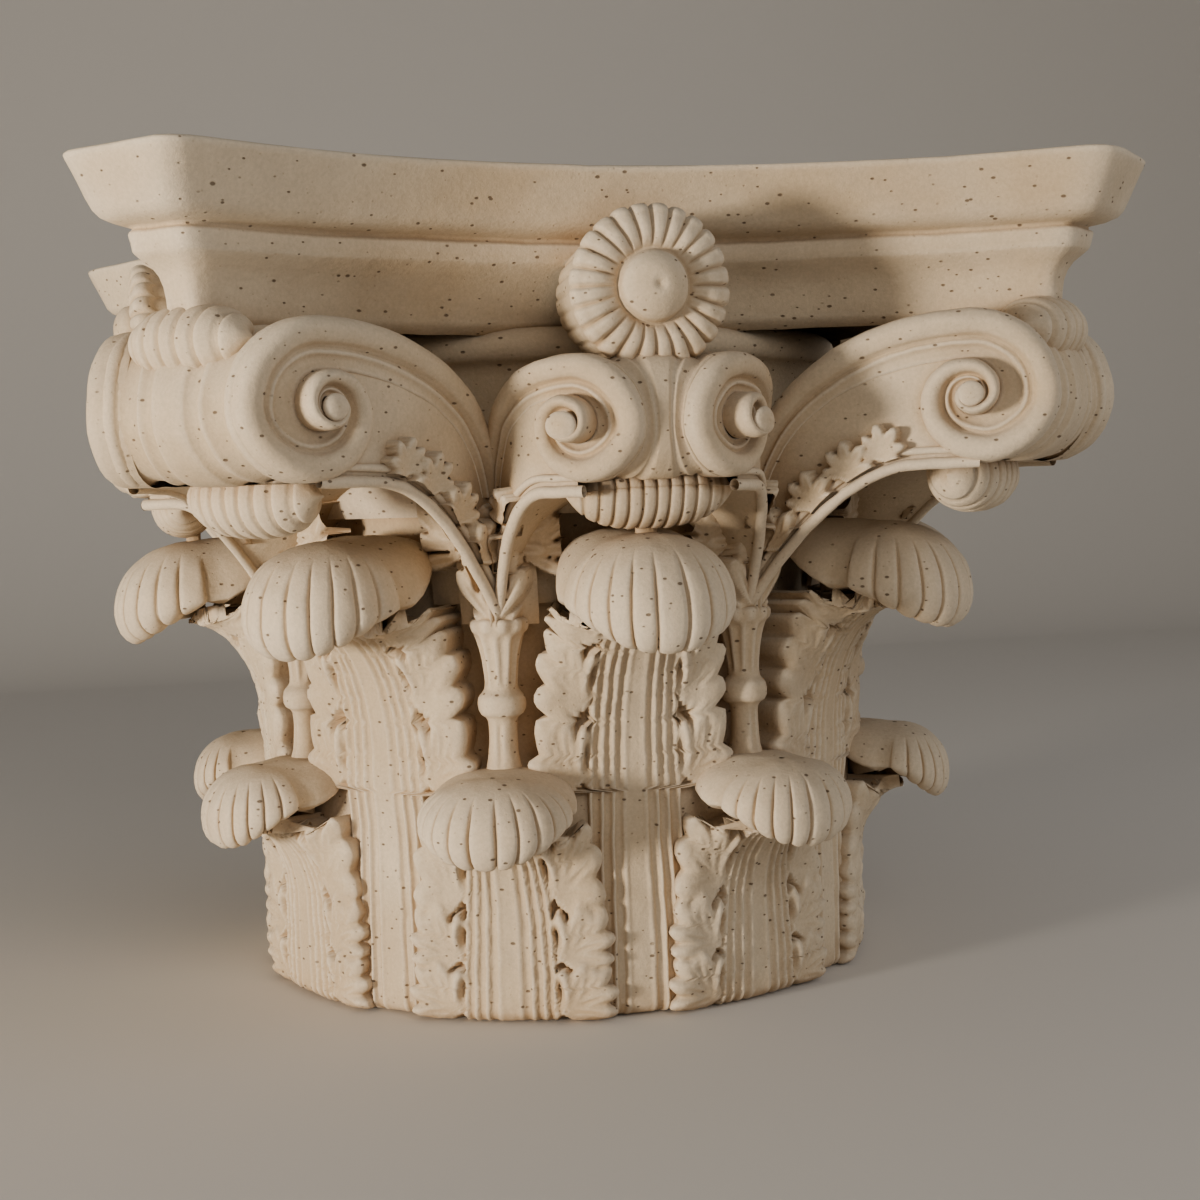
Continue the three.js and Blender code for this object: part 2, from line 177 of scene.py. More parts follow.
def four_faces(parts):
    return [turned(part, 90 * k) for part in parts for k in range(4)]


def worn(points, seed=1):
    """The stone's slight unevenness: long waves and small hand-cut ones."""
    moved = points.copy()
    for axis in range(3):
        moved[:, axis] += 0.7 * lumps(points, 120, seed + axis)
        moved[:, axis] += 0.28 * lumps(points, 17, seed + 10 + axis)
    bed = points[:, 2] < 0.5
    moved[bed, 2] = 0.0
    return moved


def make_piece(name, parts, material):
    """One mesh of all the parts, in the frame's metres, standing for the carved stone."""
    offsets = np.cumsum([0] + [len(points) for points, _ in parts[:-1]])
    points = worn(np.vstack([points for points, _ in parts]))
    quads = np.vstack([quads + offset for (_, quads), offset in zip(parts, offsets)])
    points[:, 2] = np.clip(points[:, 2], 0.0, HEIGHT)
    mesh = bpy.data.meshes.new(name)
    mesh.vertices.add(len(points))
    mesh.vertices.foreach_set("co", (points * MM).astype(np.float32).ravel())
    mesh.loops.add(quads.size)
    mesh.loops.foreach_set("vertex_index", quads.astype(np.int32).ravel())
    mesh.polygons.add(len(quads))
    mesh.polygons.foreach_set("loop_start", np.arange(0, quads.size, 4, dtype=np.int32))
    mesh.polygons.foreach_set("use_smooth", np.ones(len(quads), dtype=bool))
    mesh.update(calc_edges=True)
    mesh.validate()
    mesh.materials.append(material)
    piece = bpy.data.objects.new(name, mesh)
    bpy.context.scene.collection.objects.link(piece)
    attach(piece, "root")
    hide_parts(NODE)
    return piece


# ---- Carved relief -------------------------------------------------------------------

def leaflet(x, s, base, angle, length, width, rise):
    """One leaflet in the plane (x across, s up): its height, and how far inside it lies.

    It springs from base and leans `angle` degrees from upright towards +x.  It has a
    narrow foot, a round end, a domed surface and a vein along its middle."""
    dx, ds = math.sin(math.radians(angle)), math.cos(math.radians(angle))
    t = ((x - base[0]) * dx + (s - base[1]) * ds) / length
    w = np.abs((x - base[0]) * ds - (s - base[1]) * dx)
    belly = 0.64
    foot = 0.34 + 0.66 * np.sin(np.clip(t / belly, 0, 1) * math.pi / 2)
    end = np.sqrt(np.clip(1 - ((t - belly) / (1 - belly)) ** 2, 0, 1))
    half = 0.5 * width * np.where(t < belly, foot, end)
    inside = np.where((t > 0) & (t < 1), half - w, -9.0)
    across = np.clip(w / np.maximum(half, 0.1), 0, 1)
    dome = np.sqrt(1 - across ** 2)
    lift = rise * (0.25 + 0.75 * smooth(t / 0.75)) * (1 - 0.35 * smooth((t - 0.8) / 0.2))
    vein = 0.28 * width * np.exp(-(w / 1.1) ** 2) * np.sin(np.clip(t * 1.25, 0, 1) * math.pi)
    return np.where(inside > 0, lift * dome - 0.45 * vein, DEEP), inside


def fan(x, s, root, angles, lengths, widths, rise, lean=38.0, gather=0.3):
    """Leaflets that spread from one root: their height, and how far inside them it lies."""
    height = np.full(x.shape, DEEP)
    inside = np.full(x.shape, -9.0)
    middle = 0.5 * (angles[0] + angles[-1])
    for angle, length, width in zip(angles, lengths, widths):
        along = 0.8 * gather * length * math.cos(math.radians(angle - middle))
        base = (root[0] + along * math.sin(math.radians(middle)),
                root[1] + along * math.cos(math.radians(middle)))
        dx = root[0] + length * math.sin(math.radians(angle)) - base[0]
        ds = root[1] + length * math.cos(math.radians(angle)) - base[1]
        toward = math.degrees(math.atan2(dx, ds))
        blade, within = leaflet(x, s, base, toward, math.hypot(dx, ds), width, rise)
        height = np.maximum(height, blade)
        inside = np.maximum(inside, within)
    stalk, within = leaflet(x, s, root, lean, 0.62 * max(lengths), 7.0, 0.45 * rise)
    height = np.maximum(height, stalk)
    return height, np.maximum(inside, within)


def side_lobe(x, s, root):
    """A side lobe of a leaf: an upright bud by the ribs, then leaflets out to the margin."""
    angles, lengths, widths = zip(*LOBE_LEAFLETS)
    height, inside = fan(x, s, root, angles, lengths, widths, 5.5, lean=45)
    eye = 9 * np.exp(-((x - root[0] - 0.5) / 2.4) ** 2 - ((s - root[1] - 17) / 7.5) ** 2)
    return height - np.where(inside > -3, eye, 0), inside


def rib_at(leaf, k, s):
    """How far rib k stands from the middle of the leaf at height s."""
    low, high = leaf["ribs"][k]
    return mix(low, high, smooth(s / leaf["top"]))


def leaf_relief(leaf, x, s):
    """Height of the leaf's front over its face, and how far inside its outline."""
    side = np.abs(x)
    edge = rib_at(leaf, 3, s) + 2.0
    ribs = -1.2 + np.zeros_like(x)
    for k in range(4):
        ribs += (3.0 if k else 2.2) * np.exp(-((side - rib_at(leaf, k, s)) / 1.55) ** 2)
    ribs += 1.6 * smooth((rib_at(leaf, 0, s) - side) / 2.0)
    inside = edge - side
    height = mix(DEEP, ribs, smooth((inside + 1.5) / 2.5))
    for root in leaf["roots"]:
        foot = (float(rib_at(leaf, 3, root)) + 1.0, root)
        lobe, within = side_lobe(side, s, foot)
        height = np.maximum(height, lobe)
        inside = np.maximum(inside, within)
    return height, inside


def outline(leaf, s):
    """Half width of the leaf at each height, out to the tips of its lobes."""
    across = np.linspace(16, 72, 225)
    grid_x, grid_s = np.meshgrid(across, s)
    _, inside = leaf_relief(leaf, grid_x, grid_s)
    widest = np.where(inside > 0.3, grid_x, 0).max(1)
    return np.maximum(widest, rib_at(leaf, 3, s) + 3.0)


def leaf_levels(leaf, across, z):
    """A level of the curled tip, drawn towards the hinge at the leaf's edges."""
    round_off = np.sqrt(np.clip(1 - across ** 2, 0, 1))
    return mix(leaf["hinge"], z, 0.15 + 0.85 * round_off)


def leaf_reach(leaf, across):
    return leaf["reach"] * (0.42 + 0.58 * (1 - np.abs(across) ** 2.4))


def leaf_place(leaf, x, s, height):
    """A point of the leaf's front: upright to the flare, then curling out under the tip."""
    across = np.clip(x / leaf["half"], -1, 1)
    out = 0.52 * leaf_reach(leaf, across)
    up = leaf_levels(leaf, across, leaf["under"]) - leaf["flare"]
    bend = np.clip((s - leaf["flare"]) / (0.62 * (out + up)), 0, 1.0) * math.pi / 2 * 0.98
    edge = np.clip((9 - s) / 9, 0, 1)
    rounding = 11 * (1 - np.sqrt(1 - edge ** 2))
    stand = mix(STALK_RADIUS, leaf["front"], smooth((s - leaf["base"] + 40) / 50))
    radius = stand - rounding + out * (1 - np.cos(bend))
    level = np.minimum(s, leaf["flare"]) + up * np.sin(bend)
    steep = np.hypot(out * np.sin(bend), up * np.cos(bend)) + 1e-6
    radius = radius + height * up * np.cos(bend) / steep
    level = level - height * out * np.sin(bend) / steep * smooth(bend * 3)
    narrow = mix(1.0, leaf["cap"] / leaf["half"], bend / (math.pi / 2))
    return narrow * x / np.maximum(radius, FACE_RADIUS), radius, level


def leaf_body(leaf, rows, columns):
    """The leaf's standing front with its ribs and lobes, and its sides back to the bell."""
    top = leaf["flare"] + 0.62 * (0.52 * leaf["reach"] + leaf["under"] - leaf["flare"]) + 14
    s = np.linspace(0, top, rows)
    half = outline(leaf, s)
    if leaf["base"] > 0:
        half = np.where(s < leaf["base"] - 6, rib_at(leaf, 3, s) + 4, half)
    across = np.linspace(-1, 1, columns)
    x = across[None, :] * half[:, None]
    s = np.repeat(s[:, None], columns, 1)
    height, _ = leaf_relief(leaf, x, s)
    height = np.maximum(height, -7.0)
    azimuth, radius, level = leaf_place(leaf, x, s, height)
    front = polar(azimuth, radius, level)
    sides = []
    for column in (0, -1):
        back = [polar(azimuth[:, column] * widen, radius[:, column] - depth, level[:, column])
                for depth, widen in ((1.5, 1.01), (6, 1.0), (16, 0.98), (45, 0.95))]
        sides.append(np.stack(back[::-1] if column == 0 else back, 1))
    return sheet(np.concatenate([sides[0], front, sides[1]], 1))


def lip_angles():
    """Angles round the curled tip, in degrees, close together beside the lobes' grooves."""
    step = 180 / LIP_LOBES
    within = np.array([0, 0.05, 0.12, 0.26, 0.5, 0.74, 0.88, 0.95])
    front = np.concatenate([-90 + step * (k + within) for k in range(LIP_LOBES)])
    back = np.linspace(90, 270, 22)[:-1]
    return np.concatenate([front, back])


def leaf_tip(leaf):
    """The overturned tip of a leaf: a dome with a lobed, hanging lip."""
    theta = np.radians(lip_angles())
    forward = np.cos(theta) > 0
    across = np.sin(theta)
    centre = leaf["front"] + 0.42 * leaf["reach"]
    depth = np.where(forward, 0.58 * leaf["reach"], centre - BELL_RADIUS + 6)
    bow = np.abs(np.cos(theta)) ** (2 / TIP_PLAN)
    rim_x = leaf["cap"] * np.sign(across) * np.abs(across) ** (2 / TIP_PLAN)
    rim_r = np.sign(np.cos(theta)) * depth * bow
    tip = leaf_levels(leaf, across, leaf["tip"])
    lip = leaf_levels(leaf, across, leaf["lip"])
    behind = smooth(-np.cos(theta))
    tip = np.where(forward, tip, mix(leaf_levels(leaf, 1.0, leaf["tip"]), leaf["top"] - 8, behind))
    lip = np.where(forward, lip, tip - 5)
    step = math.radians(180 / LIP_LOBES)
    phase = (theta + math.pi / 2) / step
    off = np.abs(phase - np.round(phase))
    groove = np.where(forward, np.exp(-(off / 0.055) ** 2), 0)
    swell = np.where(forward, np.clip(1 - (2 * (0.5 - off)) ** 2, 0, 1), 1.0)
    rows = []

    def row(inward, level, carve):
        """One line round the tip, `inward` from the rim as a share of the way in."""
        cut = carve * (2.6 * groove + 1.3 * (1 - swell))
        reach = np.hypot(rim_x, rim_r)
        keep = (1 - inward) * (1 - cut / reach)
        x = rim_x * keep
        radius = centre + rim_r * keep
        rows.append(polar(x / np.maximum(radius, FACE_RADIUS), radius, level))

    top_rows = 17
    for k in range(top_rows):
        beta = mix(0.02, 1.0, k / (top_rows - 1)) * math.pi / 2
        inward = 1 - math.sin(beta) ** (2 / TIP_SIDE)
        crown = leaf["top"] + np.where(forward, 0, 0.1 * depth * (1 - inward) * behind)
        level = tip + (crown - tip) * math.cos(beta) ** (2 / TIP_RISE)
        carve = smooth((math.sin(beta) - 0.62) / 0.35)
        row(inward, level - 0.8 * carve * groove, carve)
    hang = lip - 3.0 * (swell ** 0.5 - 0.6) * forward
    thick = 13 / 6 / leaf["reach"] ** 0.15
    for share, drop, carve in LIP_ROLL:
        row(share * thick, mix(tip, hang, drop), carve)
    inner = mix(hang, leaf_levels(leaf, across, leaf["under"]), 0.8)
    for share, level in ((0.40, inner), (0.55, inner + 3), (0.8, inner + 5), (0.98, inner + 6)):
        row(share, level, 0.4)
    return sheet(np.stack(rows), wrap=True)


def around(part, first, count):
    return [turned(part, first + 360 / count * k) for k in range(count)]


# ---- Bell and abacus -----------------------------------------------------------------

def bell():
    profile = [(0.5, 0), (BED_RADIUS - 3, 0), (BED_RADIUS, 1), (206, 4), (208, 9), (208, 60),
               (208, 140), (200, 152), (190, 166), (187, 200), (186, 260), (187, 320),
               (190, 380), (193, 404)]
    for angle in np.linspace(-80, 90, 9):
        profile.append((194 + 11 * math.cos(math.radians(angle)),
                        BELL_TOP - 10 + 11 * math.sin(math.radians(angle))))
    profile.append((150, BELL_TOP + 4))
    azimuth = np.linspace(0, 2 * math.pi, 181)[:-1]
    rows = [polar(azimuth, radius, z) for radius, z in profile]
    return sheet(np.stack(rows), wrap=True)


ABACUS_PROFILE = (
    # level, horn reach, half length of a side, middle of a side
    (430, 262, 246, 176), (434, 272, 254, 184), (437, 275, 257, 186), (445, 275.5, 257, 188),
    (452, 276.5, 257, 190), (458, 279, 257.5, 193.5), (463, 283, 258, 198), (467, 289, 259, 203),
    (469.5, 292, 260, 206), (471, 293.5, 260, 207.5), (474, 294, 261, 208.5),
    (480, 295.5, 261.5, 210), (481.5, 295, 261, 209.5), (482.5, 293, 260, 207.5),
    (484, 293, 260, 207.5), (485, 297, 261, 210), (486.5, 305, 264, 217), (489, 311, 266, 222.5),
    (493, 315, 267, 226.5), (500, 318.5, 268, 230), (508, 322.5, 269, 233.5),
    (516, 326.5, 269.5, 236.5), (520, 328.5, 270, 238.2), (522.5, 329.5, 270, 239),
    (524, 329, 269.5, 238.6), (525, 326.5, 268, 237), (525, 240, 200, 150), (525, 1, 1, 1),
)


def abacus_row(z, reach, end, middle):
    """One level of the abacus: hollow sides between cut horns with worn corners."""
    sag = reach - middle
    radius = (end * end + sag * sag) / (2 * sag) if sag > 1 else 1e6
    sweep = math.asin(min(1.0, end / radius))
    angle = np.linspace(-sweep, sweep, 49)
    x = radius * np.sin(angle) if sag > 1 else np.linspace(-end, end, 49)
    y = -(middle + radius) + radius * np.cos(angle) if sag > 1 else np.full(49, -reach)
    side = np.stack([x, y], -1)
    corner = np.array([[end, -reach], [reach, -end]])
    cut = np.array([mix(corner[0], corner[1], t) for t in np.linspace(0, 1, 9)])
    ring = np.concatenate([side[:-1], cut[:-1]])
    turn = np.array([[0.0, 1.0], [-1.0, 0.0]])
    quarters = [ring]
    for _ in range(3):
        quarters.append(quarters[-1] @ turn)
    ring = np.concatenate(quarters)
    eased = ring.copy()
    for _ in range(2):
        eased = 0.5 * eased + 0.25 * (np.roll(eased, 1, 0) + np.roll(eased, -1, 0))
    return np.concatenate([eased, np.full((len(ring), 1), float(z))], 1)


def abacus():
    return sheet(np.stack([abacus_row(*level) for level in ABACUS_PROFILE]), wrap=True)


# ---- Scrolls -------------------------------------------------------------------------

class Surface:
    """An upright surface over a curve in plan, which carries a scroll's flat drawing."""

    def __init__(self, scroll):
        a, b, c = (np.array(p, float) for p in scroll["plan"])
        t = np.linspace(0, 1, 400)[:, None]
        self.points = (1 - t) ** 2 * a + 2 * t * (1 - t) * b + t * t * c
        steps = np.linalg.norm(np.diff(self.points, axis=0), axis=1)
        self.lengths = np.concatenate([[0], np.cumsum(steps)])
        self.length = self.lengths[-1]
        self.side = math.copysign(1, c[0] - a[0])
        tangent = np.gradient(self.points, axis=0)
        self.tangent = tangent / np.linalg.norm(tangent, axis=1, keepdims=True)
        self.eye = self.length - scroll["past"]

    def place(self, along, z, above):
        along, z, above = np.broadcast_arrays(along, z, above)
        held = np.clip(along, 0, self.length)
        at = [np.interp(held, self.lengths, self.points[:, i]) for i in range(2)]
        way = [np.interp(held, self.lengths, self.tangent[:, i]) for i in range(2)]
        x = at[0] + way[0] * (along - held) + self.side * way[1] * above
        y = at[1] + way[1] * (along - held) - self.side * way[0] * above
        return np.stack([x, y, z], -1)


def across_axis(points, scroll):
    """Mirror image of points in the upright plane that a pair of scrolls shares."""
    a = math.radians(scroll["axis"])
    side = np.array([math.cos(a), math.sin(a), 0.0])
    return points - 2 * (points @ side)[..., None] * side


def coil_radius(scroll, turn):
    return scroll["radius"] * np.exp(-COIL_TIGHTENING * np.maximum(0, turn - 0.27))


def rise_at(scroll, turn):
    return scroll["rise"] * smooth((turn - 0.45) / 1.0)


def ribbon_profile(across, width):
    """Height over a scroll's channel: an outer roll, a groove, a fillet and the channel."""
    from_edge = (1 - across) * width
    roll_width = np.minimum(16.5, 0.62 * width)
    t = np.clip(from_edge / roll_width, 0, 1)
    roll = np.sqrt(np.clip(1 - (2 * t - 1) ** 2, 0, 1))
    roll = np.where(t < 0.5, roll, mix(0.25, 1.0, roll))
    fillet = np.exp(-((from_edge - roll_width * 1.22) / (0.12 * roll_width)) ** 2)
    past = smooth((from_edge - roll_width * 0.98) / (0.1 * roll_width))
    return np.where(t < 1, roll, 0.25) * (1 - past) + past * (0.06 + 0.34 * fillet)


def scroll_ribbon(scroll, surface):
    """The stem that sweeps up from the calyx and coils in to the eye, as one ribbon."""
    top = scroll["radius"]
    eye = surface.eye
    lift = scroll["eye"] + top - STEM_FOOT
    rows = []
    across = np.concatenate([[0.0], np.linspace(0, 1, 22) ** 0.9, [1.0]])
    stem_angles = np.radians(np.linspace(88, 1, 26))
    for a in stem_angles:
        width = mix(13.0, top - float(coil_radius(scroll, 1.0)), math.cos(a) ** 0.8)
        outer = (eye - eye * math.sin(a), STEM_FOOT + lift * math.cos(a))
        inner = (eye - (eye - width) * math.sin(a), STEM_FOOT + (lift - width) * math.cos(a))
        rows.append((outer, inner, width, 0.0))
    for turn in np.linspace(0, scroll["turns"], int(scroll["turns"] * 44)):
        a = turn * 2 * math.pi
        outer_r = float(coil_radius(scroll, turn))
        inner_r = float(coil_radius(scroll, turn + 1.0))
        if turn > scroll["turns"] - 0.4:
            inner_r *= 1 - smooth((turn - scroll["turns"] + 0.4) / 0.4)
        outer = (eye + outer_r * math.sin(a), scroll["eye"] + outer_r * math.cos(a))
        inner = (eye + inner_r * math.sin(a), scroll["eye"] + inner_r * math.cos(a))
        rows.append((outer, inner, outer_r - inner_r, float(rise_at(scroll, turn))))
    grid = []
    for outer, inner, width, rise in rows:
        along = mix(inner[0], outer[0], across)
        level = mix(inner[1], outer[1], across)
        height = rise + scroll["roll"] * ribbon_profile(across, width) * min(1, width / 18) ** 0.5
        height[0] -= 10.0
        height[-1] = rise - 14.0 if rise > 0.5 else -16.0
        grid.append(surface.place(along, level, height))
    return sheet(np.stack(grid))


def scroll_eye(scroll, surface):
    """The button at the middle of the coil."""
    radius = float(coil_radius(scroll, scroll["turns"])) * 1.15
    theta = np.linspace(0, 2 * math.pi, 25)[:-1]
    rows = []
    for beta in np.radians(np.linspace(-50, 88, 8)):
        r = radius * math.cos(beta)
        height = scroll["rise"] + scroll["roll"] * 0.45 + 3.5 * math.sin(beta)
        rows.append(surface.place(surface.eye + r * np.sin(theta),
                                  scroll["eye"] + r * np.cos(theta), height))
    return sheet(np.stack(rows), wrap=True)


# Half of the stone between two rims: share of the way across, share of the coil's radius.
EDGE_PROFILE = (
    (0.0, 0.96), (0.015, 0.99), (0.045, 0.995), (0.075, 0.975), (0.09, 0.94),
    (0.11, 0.905), (0.16, 0.885), (0.21, 0.895), (0.25, 0.93), (0.265, 0.955),
    (0.28, 0.95), (0.31, 0.925), (0.345, 0.93), (0.375, 0.965), (0.385, 0.985),
    (0.41, 0.99), (0.5, 0.99),
)


def scroll_edge(scroll, surface):
    """The stone between a pair's two rims: rolls, hollows and a flat fillet between."""
    turns = np.linspace(-0.02, 0.98, 48)
    a = turns * 2 * math.pi
    radius = coil_radius(scroll, turns)
    rim = surface.place(surface.eye + radius * np.sin(a), scroll["eye"] + radius * np.cos(a), -2.0)
    eye = surface.place(surface.eye, scroll["eye"], -2.0)
    other_rim = across_axis(rim, scroll)
    other_eye = across_axis(eye, scroll)
    steps = EDGE_PROFILE + tuple((1 - t, scale) for t, scale in EDGE_PROFILE[-2::-1])
    rows = []
    for t, scale in steps:
        rows.append(mix(mix(eye, rim, scale), mix(other_eye, other_rim, scale), t))
    return sheet(np.stack(rows))


def arch_level(scroll, along):
    rise = np.sin(math.pi / 2 * np.clip(along / scroll["arch"], 0, 1))
    return mix(CALYX_LEVEL, scroll["crown"], rise)


def web(scroll, surface):
    """The stone behind a pair of scrolls: its two faces and the vault between them."""
    eye = surface.eye
    rings = []
    a = math.radians(scroll["axis"])
    out = np.array([math.sin(a), -math.cos(a), 0.0])
    for t in np.linspace(0, 1, 30):
        along = mix(-4, eye, t)
        bend = math.asin(min(1, max(0, 1 - along / eye)))
        upper = mix(STEM_FOOT, scroll["eye"] + scroll["radius"], math.cos(bend)) - 8
        low_z = float(arch_level(scroll, along))
        low = surface.place(along, low_z, 0.0)
        high = surface.place(along, max(upper, low_z + 12), 0.0)
        ridge = out * mix(VAULT_ROOT, scroll["ridge"], t)
        ridge[2] = scroll["crown"] + 2
        face = [mix(high, low, v) for v in np.linspace(0, 1, 7)]
        vault = []
        for v in np.linspace(0.04, 1, 16):
            point = mix(low, ridge, v)
            point[2] = mix(low_z, ridge[2], math.sin(math.pi / 2 * v) ** 0.75)
            vault.append(point)
        other = [across_axis(point, scroll) for point in (face + vault[:-1])[::-1]]
        rings.append(np.stack(face + vault + other))
    return sheet(np.stack(rings), wrap=True)


def tube(path, radii, sides=10):
    """A round moulding along a path of points, with a radius at each."""
    tangent = np.gradient(path, axis=0)
    tangent /= np.linalg.norm(tangent, axis=1, keepdims=True)
    up = np.array([0.0, 0.0, 1.0])
    first = np.cross(tangent, up)
    first /= np.linalg.norm(first, axis=1, keepdims=True) + 1e-9
    second = np.cross(tangent, first)
    theta = np.linspace(0, 2 * math.pi, sides + 1)[:-1]
    ring = (np.cos(theta)[None, :, None] * first[:, None, :]
            + np.sin(theta)[None, :, None] * second[:, None, :])
    return sheet(path[:, None, :] + ring * np.asarray(radii)[:, None, None], wrap=True)


def arch_rims(scroll, surface):
    """The double moulding along the arched edge that rises out of a calyx."""
    parts = []
    end = surface.eye + 4
    along = np.linspace(0, end, 40)
    level = arch_level(scroll, along)
    slope = np.gradient(level, along)
    steep = np.hypot(1, slope)
    for inset, above, radius in ((1.0, 0.5, 3.6), (9.0, 1.0, 2.4)):
        path = surface.place(along - inset * slope / steep, level + inset / steep, above)
        parts.append(tube(path, np.full(len(path), radius)))
    return parts


def frond_band(scroll, surface, fronds, columns, rows):
    """Lobed fronds that stand along the arch between the calyx and the coil."""
    start, stop = -10.0, surface.eye - 0.30 * scroll["radius"]
    along = np.linspace(start, stop, columns)
    up = np.linspace(0, 1, rows)
    level = arch_level(scroll, along)
    x = np.repeat(along[None, :], rows, 0)
    s = level[None, :] + 6 + up[:, None] * 44
    height = np.full(x.shape, -9.0)
    for foot, lean, size in fronds:
        root = (foot, float(arch_level(scroll, foot)) + 8)
        angles = tuple(lean + v for v in (-78, -46, -16, 16, 46, 78))
        lengths = [size * v for v in (17, 23, 28, 28, 23, 17)]
        widths = [size * v for v in (9, 9.5, 10, 10, 9.5, 9)]
        blade, inside = fan(x, s, root, angles, lengths, widths, 4.0, lean=lean, gather=0.35)
        lifted = blade + 5.0 + 3.0 * smooth((s - root[1]) / 26)
        height = np.maximum(height, np.where(inside > 0, lifted, -9.0))
    return sheet(surface.place(x, s, height))


# ---- Calyx and its stem ----------------------------------------------------------------

STALK_PROFILE = (
    # level, radius: the foot and shaft, the ring, then the cup
    (146, 13), (158, 12), (168, 9.6), (180, 8.6), (190, 8.8),
    (193, 10), (195, 13.2), (198, 14.6), (202, 15), (206, 14.2), (209, 11.5), (211, 10.3),
    (214, 10.2), (220, 10.8), (228, 12), (236, 13.6), (242, 15.2), (246, 17), (249, 18.2),
    (252, 18.3), (254, 17), (255, 12),
)


def caulicolus():
    """The fluted stem between two upper leaves: foot, shaft, ring and cup."""
    steps = np.linspace(0, len(STALK_PROFILE) - 1, 46)
    z = np.interp(steps, range(len(STALK_PROFILE)), [p[0] for p in STALK_PROFILE])
    size = np.interp(steps, range(len(STALK_PROFILE)), [p[1] for p in STALK_PROFILE])
    theta = np.linspace(0, 2 * math.pi, 51)[:-1]
    cup = smooth((z - 212) / 4) * smooth((247 - z) / 5)
    shaft = smooth((192 - z) / 4) * smooth((z - 158) / 10)
    flute = np.abs(np.cos(5 * theta)) ** 1.6
    wave = 1 + 0.05 * np.cos(10 * theta)
    rim = smooth((z - 243) / 4)
    radius = size[:, None] * (1 - 0.15 * cup[:, None] * flute[None, :])
    radius = radius * mix(1, wave[None, :], rim[:, None])
    radius = radius - 1.6 * shaft[:, None] * np.exp(-((theta - 1.5 * math.pi) / 0.16) ** 2)
    x = radius * np.cos(theta)
    y = -206 + radius * np.sin(theta)
    level = np.repeat(z[:, None], len(theta), 1)
    return turned(sheet(np.stack([x, y, level], -1), wrap=True), 22.5)


def calyx_place(x, s, height):
    """A point on the calyx leaf, which stands out from the cup and nods forward."""
    t = np.clip((s - 250) / 74, 0, 1.2)
    y = -(219 + 9 * t + 7 * t ** 3 - 0.013 * x ** 2 * (1 - 0.3 * t)) - height
    return np.stack([x, y, s], -1)


def calyx_leaf():
    """The upright lobed leaf at the middle of a calyx."""
    x, s = np.meshgrid(np.linspace(-25, 25, 46), np.linspace(250, 326, 60))
    side = np.abs(x)
    height = np.full(x.shape, -10.0)
    for base, angle, length, width in (((1.5, 255), 32, 36, 14), ((1.0, 272), 30, 30, 13),
                                       ((0.5, 288), 26, 24, 11), ((0.0, 296), 0, 29, 13)):
        blade, inside = leaflet(side, s, base, angle, length, width, 5.0)
        height = np.maximum(height, np.where(inside > 0, blade + 1.5, -10.0))
    rib = 3.4 * np.exp(-((side - 1.7) / 1.1) ** 2) - 1.5 * np.exp(-(side / 0.8) ** 2)
    stalk = smooth((3.8 - side) / 1.5) * smooth((318 - s) / 12)
    height = np.maximum(height, mix(-10.0, rib + 1.8, stalk))
    foot = smooth((266 - s) / 10) * smooth((13 + 0.4 * (s - 252) - side) / 2)
    height = np.maximum(height, mix(-10.0, 0.8, foot))
    for ds, dx in ((276, 8.5), (291, 7.0)):
        height -= 7 * np.exp(-((side - dx) / 2.0) ** 2 - ((s - ds) / 4.5) ** 2)
    return turned(sheet(calyx_place(x, s, height)), 22.5)


def back_fronds():
    """Lobed fronds that rise behind the calyx leaf, up to the scrolls' stems."""
    x, s = np.meshgrid(np.linspace(-42, 46, 76), np.linspace(262, 352, 72))
    height = np.full(x.shape, -10.0)
    spread = ((-7, -16, 1.12, 268), (9, 4, 1.3, 274), (22, 24, 1.1, 264), (-20, -34, 1.0, 262))
    for foot, lean, size, low in spread:
        root = (foot, low + 26)
        angles = tuple(lean + v for v in (-70, -42, -14, 14, 42, 70))
        lengths = [size * v for v in (25, 36, 45, 45, 36, 25)]
        widths = [size * v for v in (10.5, 11, 11.5, 11.5, 11, 10.5)]
        blade, inside = fan(x, s, root, angles, lengths, widths, 5.0, lean=lean, gather=0.4)
        lifted = blade + 2.0 + 5.0 * smooth((s - root[1] + 10) / 50)
        height = np.maximum(height, np.where(inside > 0, lifted, -10.0))
    t = np.clip((s - 250) / 100, 0, 1)
    y = -(207 + 14 * t - 0.006 * x ** 2) - height
    return turned(sheet(np.stack([x, y, s], -1)), 22.5)


# ---- Small ornament ------------------------------------------------------------------

def curl(azimuth, radius, z, size, lobes):
    """A ribbed shell: a rounded curl of stone whose lobes end in a scalloped edge."""
    across = np.linspace(-1, 1, lobes * 7 + 1)
    ring = np.radians(np.linspace(0, 360, 33))[:-1]
    wide, deep, high = size
    phase = (across + 1) / 2 * lobes
    off = np.abs(phase - np.round(phase))
    groove = np.exp(-(off / 0.09) ** 2)
    swell = np.sqrt(np.clip(np.sin(math.pi * (phase % 1)), 0, 1))
    end = np.sqrt(np.clip(1 - np.abs(across) ** 2.6, 0.004, 1))
    grid = []
    for k, s in enumerate(across):
        grow = end[k] * (1 - 0.10 * groove[k] + 0.05 * swell[k])
        out = deep * grow * np.cos(ring)
        up = high * grow * np.sin(ring)
        x = wide * s * (1 + 0.10 * np.cos(ring) * abs(s))
        grid.append(np.stack([x, -(radius + out), z + up], -1))
    return turned(sheet(np.stack(grid), wrap=True), azimuth)


